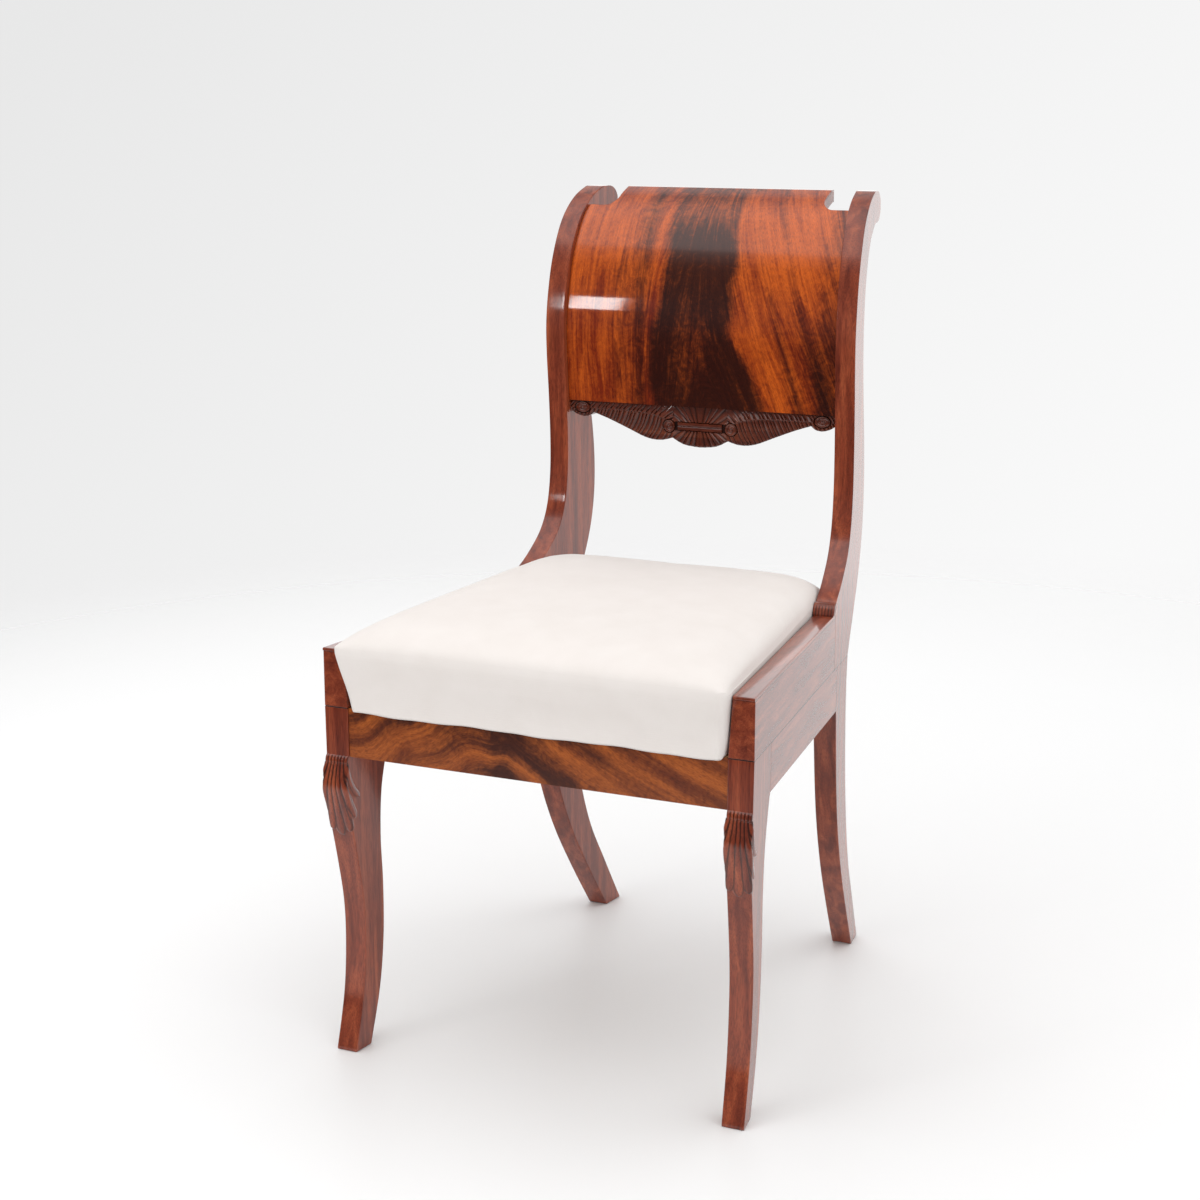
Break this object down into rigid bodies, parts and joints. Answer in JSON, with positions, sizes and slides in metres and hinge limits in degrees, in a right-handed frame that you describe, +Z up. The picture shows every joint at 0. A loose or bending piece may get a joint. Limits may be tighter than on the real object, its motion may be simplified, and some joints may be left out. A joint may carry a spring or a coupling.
{
  "type": "klismos chair",
  "caption": "Mahogany side chair with sabre rear legs, carved knees, a scroll-over veneered crest above a carved apron, and a loose lift-out seat in white muslin.",
  "frame": {"origin": "middle of the chair's outline in plan, at floor level", "axes": "+Z up, +X to the chair's right-hand side as seen from the front, -Y to the front"},
  "size_m": [0.4742, 0.563, 0.89],
  "materials": {
    "mahogany": "French polished, glossy",
    "flame_veneer": "French polished, glossy",
    "beech": "planed, unpolished",
    "jute": "coarse woven",
    "horsehair": "loose curled hair",
    "muslin": "plain woven cotton"
  },
  "bodies": {
    "frame": {"front_leg_left": "mahogany", "front_leg_right": "mahogany", "rear_leg_left": "mahogany", "rear_leg_right": "mahogany", "side_rail_left": "mahogany", "side_rail_right": "mahogany", "front_rail": "beech", "front_rail_veneer": "flame_veneer", "rear_rail": "mahogany", "corner_block_front_left": "beech", "corner_block_rear_left": "beech", "corner_block_front_right": "beech", "corner_block_rear_right": "beech", "upper_rail_left": "mahogany", "rail_cap_left": "mahogany", "upper_rail_right": "mahogany", "rail_cap_right": "mahogany", "crest_panel": "mahogany", "crest_veneer_band": "flame_veneer", "crest_veneer_flame": "flame_veneer", "back_stile_left": "mahogany", "frame_dowel_front_left": "beech", "frame_dowel_middle_left": "beech", "frame_dowel_rear_left": "beech", "back_stile_right": "mahogany", "frame_dowel_front_right": "beech", "frame_dowel_middle_right": "beech", "frame_dowel_rear_right": "beech", "upper_rear_rail": "mahogany", "leaf_collar_left": "mahogany", "leaf_collar_right": "mahogany", "carved_apron": "mahogany"},
    "seat": {"webbing_along_1": "jute", "webbing_along_2": "jute", "webbing_along_3": "jute", "webbing_across_1": "jute", "webbing_across_2": "jute", "webbing_across_3": "jute", "muslin_cover": "muslin", "seat_frame_front": "beech", "seat_frame_rear": "beech", "seat_frame_left": "beech", "seat_frame_right": "beech", "hessian": "jute", "seat_stuffing": "horsehair", "edge_roll": "horsehair"}
  },
  "joints": [
    {"name": "seat_lift", "type": "slide", "parent": "frame", "child": "seat", "axis": [0, 0, 1], "range_m": [0, 0.12]}
  ]
}
